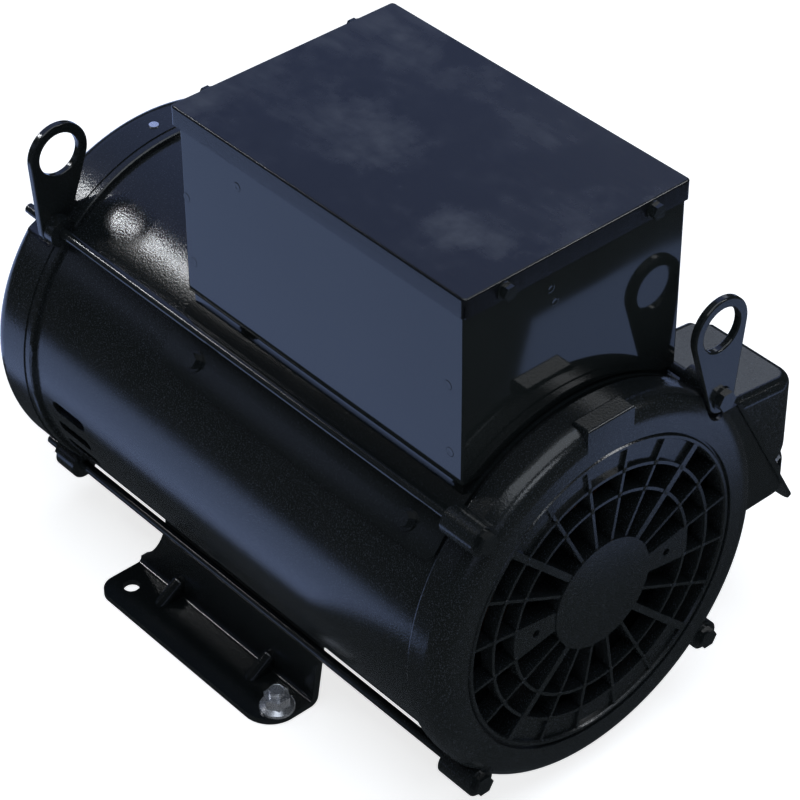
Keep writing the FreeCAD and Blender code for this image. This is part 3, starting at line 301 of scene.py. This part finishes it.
def add_dust(tree, bsdf, place, amount):
    """Pale specks and a faint film, as a thin diffuse layer."""
    specks = remap(tree, noise(tree, place, 1400, 1, 0.4), 0.70, 0.78, 0, 1)
    film = remap(tree, noise(tree, place, 22, 5, 0.65), 0.45, 0.8, 0, 0.12)
    weight = combine(tree, "MULTIPLY", combine(tree, "ADD", specks, film), amount)
    bsdf.inputs["Sheen Roughness"].default_value = 0.6
    bsdf.inputs["Sheen Tint"].default_value = (0.7, 0.75, 0.9, 1)
    tree.links.new(weight, bsdf.inputs["Sheen Weight"])


def lid_paint():
    """Satin black; its colour is lightened to bluish grey in blotches and streaks on its upward face only,
    and the lips are glossier.
    """
    material, bsdf, tree = new_material("paint_lid")
    place = object_place(tree)
    top_blotch = noise(tree, place, 16, 6, 0.62)
    streak = noise(tree, stretch(tree, place, (30, 9, 30)), 1.0, 4, 0.6)
    facing = tree.nodes.new("ShaderNodeSeparateXYZ")
    tree.links.new(tree.nodes.new("ShaderNodeTexCoord").outputs["Normal"], facing.inputs[0])
    upward = remap(tree, facing.outputs["Z"], 0.6, 0.9, 0, 1)
    # Lighter bluish colour in blotches and streaks, masked to upward-facing faces, so the top reads lighter
    # than the lips.
    top_lightening = combine(tree, "MULTIPLY", remap(tree, top_blotch, 0.46, 0.62, 0, 1),
                   remap(tree, streak, 0.4, 0.6, 0.15, 1))
    top_lightening = combine(tree, "MULTIPLY", top_lightening, upward)
    colour = mix_colour(tree, top_lightening, (0.0056, 0.0066, 0.0086), (0.056, 0.062, 0.080))
    tree.links.new(colour, bsdf.inputs["Base Color"])
    rough = combine(tree, "ADD", remap(tree, upward, 0, 1, 0.10, 0.24), remap(tree, top_lightening, 0, 1, 0, 0.16))
    tree.links.new(rough, bsdf.inputs["Roughness"])
    bsdf.inputs["IOR"].default_value = 1.5
    fine = noise(tree, place, 1600, 2, 0.5)
    scratch = tree.nodes.new("ShaderNodeTexVoronoi")
    scratch.feature = "DISTANCE_TO_EDGE"
    scratch.inputs["Scale"].default_value = 1.0
    tree.links.new(stretch(tree, place, (260, 14, 60)), scratch.inputs["Vector"])
    line = remap(tree, scratch.outputs["Distance"], 0.0, 0.012, 1, 0)
    first = add_bump(tree, bsdf, fine, 0.00004)
    add_bump(tree, bsdf, line, -0.00003, 0.35, first)
    return material


def metal(name, colour, rough, grain=None, blotch=0.0, metallic=1.0):
    """Bare or plated metal. grain stretches its brushing along an axis."""
    material, bsdf, tree = new_material(name)
    place = object_place(tree)
    bsdf.inputs["Metallic"].default_value = metallic
    patch = noise(tree, place, 60, 4, 0.6)
    darker = [c * (1 - blotch) for c in colour]
    mottled = mix_colour(tree, remap(tree, patch, 0.35, 0.7, 0, 1), colour, darker)
    tree.links.new(mottled, bsdf.inputs["Base Color"])
    lines = noise(tree, stretch(tree, place, grain or (1500, 1500, 1500)), 1.0, 3, 0.6)
    tree.links.new(remap(tree, lines, 0.3, 0.7, rough * 0.8, rough * 1.4), bsdf.inputs["Roughness"])
    add_bump(tree, bsdf, lines, 0.00002)
    return material


def dull(name, colour, rough, scale=400, height=0.00004):
    """Rubber, plastic or board with a fine grain."""
    material, bsdf, tree = new_material(name)
    place = object_place(tree)
    grain = noise(tree, place, scale, 3, 0.5)
    lighter = [min(1.0, c * 1.5 + 0.004) for c in colour]
    mottled = mix_colour(tree, remap(tree, grain, 0.3, 0.7, 0, 1), colour, lighter)
    tree.links.new(mottled, bsdf.inputs["Base Color"])
    bsdf.inputs["Roughness"].default_value = rough
    add_bump(tree, bsdf, grain, height)
    return material


def striped(name, colour, gap, pitch, axis, metallic, rough, height):
    """Stacked sheets or wound wires: fine bands across one axis."""
    material, bsdf, tree = new_material(name)
    place = object_place(tree)
    split = tree.nodes.new("ShaderNodeSeparateXYZ")
    tree.links.new(place, split.inputs[0])
    swing = combine(tree, "SINE", combine(tree, "MULTIPLY", split.outputs[axis], 2 * math.pi / pitch), 0)
    band = remap(tree, swing, -1, 1, 0, 1)
    tree.links.new(mix_colour(tree, band, gap, colour), bsdf.inputs["Base Color"])
    bsdf.inputs["Metallic"].default_value = metallic
    bsdf.inputs["Roughness"].default_value = rough
    add_bump(tree, bsdf, band, height)
    return material


def make_materials():
    steel_grain = (1800, 40, 1800)
    return {
        # For the gloss paints the sixth number, grain, is the strength of their painted sparkle specks.
        "paint_shell": gloss_paint("paint_shell", 0.00010, 0.0011, 0.13, 0.10, 0.0, 0.35),
        "paint_cast": gloss_paint("paint_cast", 0.00009, 0.0014, 0.16, 0.10, 0.0, 0.35),
        "paint_box": gloss_paint("paint_box", 0.0, 0.001, 0.05, 0.02, 0.0004),
        "paint_lid": lid_paint(),
        "paint_conduit": gloss_paint("paint_conduit", 0.00008, 0.0012, 0.13, 0.15, 0.0, 0.4),
        "paint_small": gloss_paint("paint_small", 0.00004, 0.0010, 0.12, 0.05, 0.0, 0.15),
        "zinc": metal("zinc", (0.88, 0.90, 0.95), 0.26, None, 0.35, 0.82),
        "steel": metal("steel", (0.62, 0.62, 0.62), 0.20, steel_grain, 0.1),
        "lamination": striped("lamination", (0.22, 0.22, 0.23), (0.05, 0.05, 0.05), 0.0010, "Y",
                              0.6, 0.5, 0.0001),
        "winding": striped("winding", (0.42, 0.15, 0.06), (0.10, 0.03, 0.01), 0.0014, "X",
                           0.5, 0.35, 0.0003),
        "cage": metal("cage", (0.62, 0.63, 0.65), 0.42, None, 0.2),
        "rubber": dull("rubber", (0.012, 0.012, 0.013), 0.7),
        "capacitor_can": metal("capacitor_can", (0.70, 0.71, 0.72), 0.30, (90, 90, 1200), 0.1),
        "capacitor_case": dull("capacitor_case", (0.02, 0.02, 0.022), 0.35, 900),
        "board": dull("board", (0.42, 0.30, 0.16), 0.55, 250),
        "brass_cage": metal("brass_cage", (0.70, 0.52, 0.25), 0.3, None, 0.15),
        "lead": dull("lead", (0.03, 0.03, 0.035), 0.5, 700),
    }


SLOT_LOOK = {
    "painted_sheet": "paint_shell", "painted_cast": "paint_cast", "painted_box": "paint_box",
    "painted_fastener": "paint_small",
}
NODE_LOOK = {"box_lid": "paint_lid", "left_foot": "paint_small", "right_foot": "paint_small",
             "saddle_plate": "paint_small",
             "conduit_box_base": "paint_small", "conduit_box_cover": "paint_conduit"}


def dress_nodes(looks):
    """Give every CAD node the look of its record slot, or its own."""
    for entry in frame["record"]["subparts"]:
        node = NODES[entry["node"]]
        look = NODE_LOOK.get(entry["node"]) or SLOT_LOOK.get(entry["material_slot"], entry["material_slot"])
        node.data.materials.clear()
        node.data.materials.append(looks[look])


# ---------------------------------------------------------------- small detail
def add_piece(name, mesh, look, body):
    for polygon in mesh.polygons:
        polygon.use_smooth = True
    mesh.materials.append(look)
    piece = bpy.data.objects.new(name, mesh)
    bpy.context.scene.collection.objects.link(piece)
    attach(piece, body)
    return piece


def weld_bead(name, start, end, radius, look, wobble):
    """Rippled bead between two points."""
    start, end = Vector(start), Vector(end)
    along = (end - start).normalized()
    side = along.orthogonal().normalized()
    up = along.cross(side)
    steps = max(8, int((end - start).length / (0.35 * MM)))
    around = 12
    mesh = bmesh.new()
    rings = []
    for step in range(steps + 1):
        travel = step / steps
        taper = min(1.0, math.sqrt(max(0.0, min(travel, 1 - travel)) * steps / 5) + 0.05)
        ripple = 1 + 0.10 * abs(math.sin(step * 0.62)) + wobble.uniform(-0.03, 0.03)
        size = radius * taper * ripple
        centre = start.lerp(end, travel) + side * wobble.uniform(-0.12, 0.12) * radius
        ring = [mesh.verts.new(centre + size * (side * math.cos(a) + up * math.sin(a)))
                for a in (2 * math.pi * n / around for n in range(around))]
        rings.append(ring)
    for first, second in zip(rings, rings[1:]):
        for n in range(around):
            mesh.faces.new((first[n], first[(n + 1) % around], second[(n + 1) % around], second[n]))
    mesh.faces.new(rings[0][::-1])
    mesh.faces.new(rings[-1])
    data = bpy.data.meshes.new(name)
    mesh.to_mesh(data)
    mesh.free()
    return add_piece(name, data, look, "motor")


def lathe(name, profile, place, axis, look, body, around=40):
    """Profile of (radius, height) points turned about an axis."""
    turn = Vector(axis).to_track_quat("Z", "Y")
    mesh = bmesh.new()
    rings = []
    for radius, height in profile:
        rings.append([mesh.verts.new(Vector(place) + turn @ Vector((radius * math.cos(a),
                                                                    radius * math.sin(a), height)))
                      for a in (2 * math.pi * n / around for n in range(around))])
    for first, second in zip(rings, rings[1:]):
        for n in range(around):
            mesh.faces.new((first[n], first[(n + 1) % around], second[(n + 1) % around], second[n]))
    mesh.faces.new(rings[0][::-1])
    mesh.faces.new(rings[-1])
    bmesh.ops.recalc_face_normals(mesh, faces=mesh.faces)
    data = bpy.data.meshes.new(name)
    mesh.to_mesh(data)
    mesh.free()
    return add_piece(name, data, look, body)


def thread(name, place, axis, radius, pitch, turns, depth, look):
    """Threaded rod end: a helical ridge closed at both ends."""
    turn = Vector(axis).to_track_quat("Z", "Y")
    around = 24
    mesh = bmesh.new()
    rows = []
    total = around * turns
    section = ((-0.5, 1.0), (0.0, 0.0), (0.5, 1.0))
    for step in range(total + 1):
        angle = 2 * math.pi * step / around
        height = pitch * step / around
        fade = min(1.0, (total - step) / around)
        row = []
        for shift, dip in section:
            size = radius - depth * (1 - fade * (1 - dip))
            spot = Vector((size * math.cos(angle), size * math.sin(angle), height + shift * pitch))
            row.append(mesh.verts.new(Vector(place) + turn @ spot))
        rows.append(row)
    for first, second in zip(rows, rows[1:]):
        for n in range(len(section)):
            following = (n + 1) % len(section)
            mesh.faces.new((first[n], second[n], second[following], first[following]))
    mesh.faces.new(rows[0])
    mesh.faces.new(rows[-1][::-1])
    bmesh.ops.recalc_face_normals(mesh, faces=mesh.faces)
    data = bpy.data.meshes.new(name)
    mesh.to_mesh(data)
    mesh.free()
    return add_piece(name, data, look, "motor")


def grille_bumps(name, along, facing, look):
    """Low round bump wherever a grille spoke crosses a ring."""
    around, profile = 12, ((1.9, 0.0), (1.6, 0.35), (1.0, 0.55), (0.3, 0.62))
    mesh = bmesh.new()
    for ring in GRILLE_RINGS:
        for spoke in range(GRILLE_SPOKES):
            tilt = math.radians(9 + 18 * spoke)
            middle = Vector((ring * math.cos(tilt), along, AXIS_HEIGHT + ring * math.sin(tilt)))
            rows = []
            for radius, height in profile:
                rows.append([mesh.verts.new(middle + MM * Vector((radius * math.cos(a), facing * height,
                                                                  facing * radius * math.sin(a))))
                             for a in (2 * math.pi * n / around for n in range(around))])
            for first, second in zip(rows, rows[1:]):
                for n in range(around):
                    mesh.faces.new((first[n], first[(n + 1) % around], second[(n + 1) % around], second[n]))
            mesh.faces.new(rows[0][::-1])
            mesh.faces.new(rows[-1])
    bmesh.ops.recalc_face_normals(mesh, faces=mesh.faces)
    data = bpy.data.meshes.new(name)
    mesh.to_mesh(data)
    mesh.free()
    return add_piece(name, data, look, "motor")


def spot_weld(name, place, axis, look):
    """Shallow ring and dimple left by a resistance weld."""
    profile = [(2.9, 0.0), (2.6, 0.06), (2.0, 0.09), (1.3, 0.04), (0.4, 0.02)]
    scaled = [(r * MM, h * MM) for r, h in profile]
    return lathe(name, scaled, place, axis, look, "motor", 24)


def foot_welds(look):
    """Three beads where each foot's web meets the drum."""
    wobble = random.Random(7)
    join = AXIS_HEIGHT - math.sqrt(DRUM_RADIUS ** 2 - FOOT_WEB ** 2)
    for side, word in ((-1, "left"), (1, "right")):
        for number, (front, back) in enumerate(((-146, -118), (-90, -58), (-36, -16))):
            weld_bead(f"{word}_foot_weld_{number}", (side * FOOT_WEB, front * MM, join),
                      (side * FOOT_WEB, back * MM, join), 2.2 * MM, look, wobble)


def box_marks(look):
    """Weld marks on the box's two sides and its front."""
    low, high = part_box("capacitor_box")
    marks = ((-252.7, 295.5), (-254.6, 252.5), (-38.9, 299.5), (-42.3, 257.5), (-84.6, 330.2))
    for number, (along, height) in enumerate(marks):
        spot_weld(f"box_left_mark_{number}", (low.x, along * MM, height * MM), (-1, 0, 0), look)
        spot_weld(f"box_right_mark_{number}", (high.x, along * MM, height * MM), (1, 0, 0), look)
    for number, (across, height) in enumerate(((-18.8, 333.5), (-15.6, 323.7))):
        spot_weld(f"box_front_mark_{number}", (across * MM, low.y, height * MM), (0, -1, 0), look)


def stud_thread(look):
    low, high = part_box("foot_stud")
    middle = (low + high) / 2
    start = (middle.x, middle.y, 13.2 * MM)
    thread("foot_stud_thread", start, (0, 0, 1), 4.95 * MM, 1.5 * MM, 3, 0.45 * MM, look)


def bolt_threads(look):
    """Thread from each nut to its bolt's end; the lug's nut sits further forward."""
    bolt_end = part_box("through_bolts")[1].y
    pitch = 1.1 * MM
    for number, (side, up) in enumerate(((1, 1), (-1, 1), (-1, -1), (1, -1))):
        along = (88.5 if (side, up) == (-1, 1) else 93.1) * MM
        start = (side * BOLT_HALF, along, AXIS_HEIGHT + up * BOLT_HALF)
        thread(f"through_bolt_thread_{number}", start, (0, 1, 0), 3.30 * MM, pitch,
               int((bolt_end - along) / pitch) - 1, 0.35 * MM, look)


def make_details(looks):
    foot_welds(looks["paint_small"])
    box_marks(looks["paint_box"])
    stud_thread(looks["zinc"])
    bolt_threads(looks["paint_small"])
    grille_bumps("front_grille_bumps", -293.2 * MM, -1, looks["paint_cast"])
    grille_bumps("rear_grille_bumps", 106.2 * MM, 1, looks["paint_cast"])


def main():
    bpy.context.scene.view_settings.view_transform = "Standard"
    make_camera()
    make_studio()
    looks = make_materials()
    dress_nodes(looks)
    make_details(looks)


main()
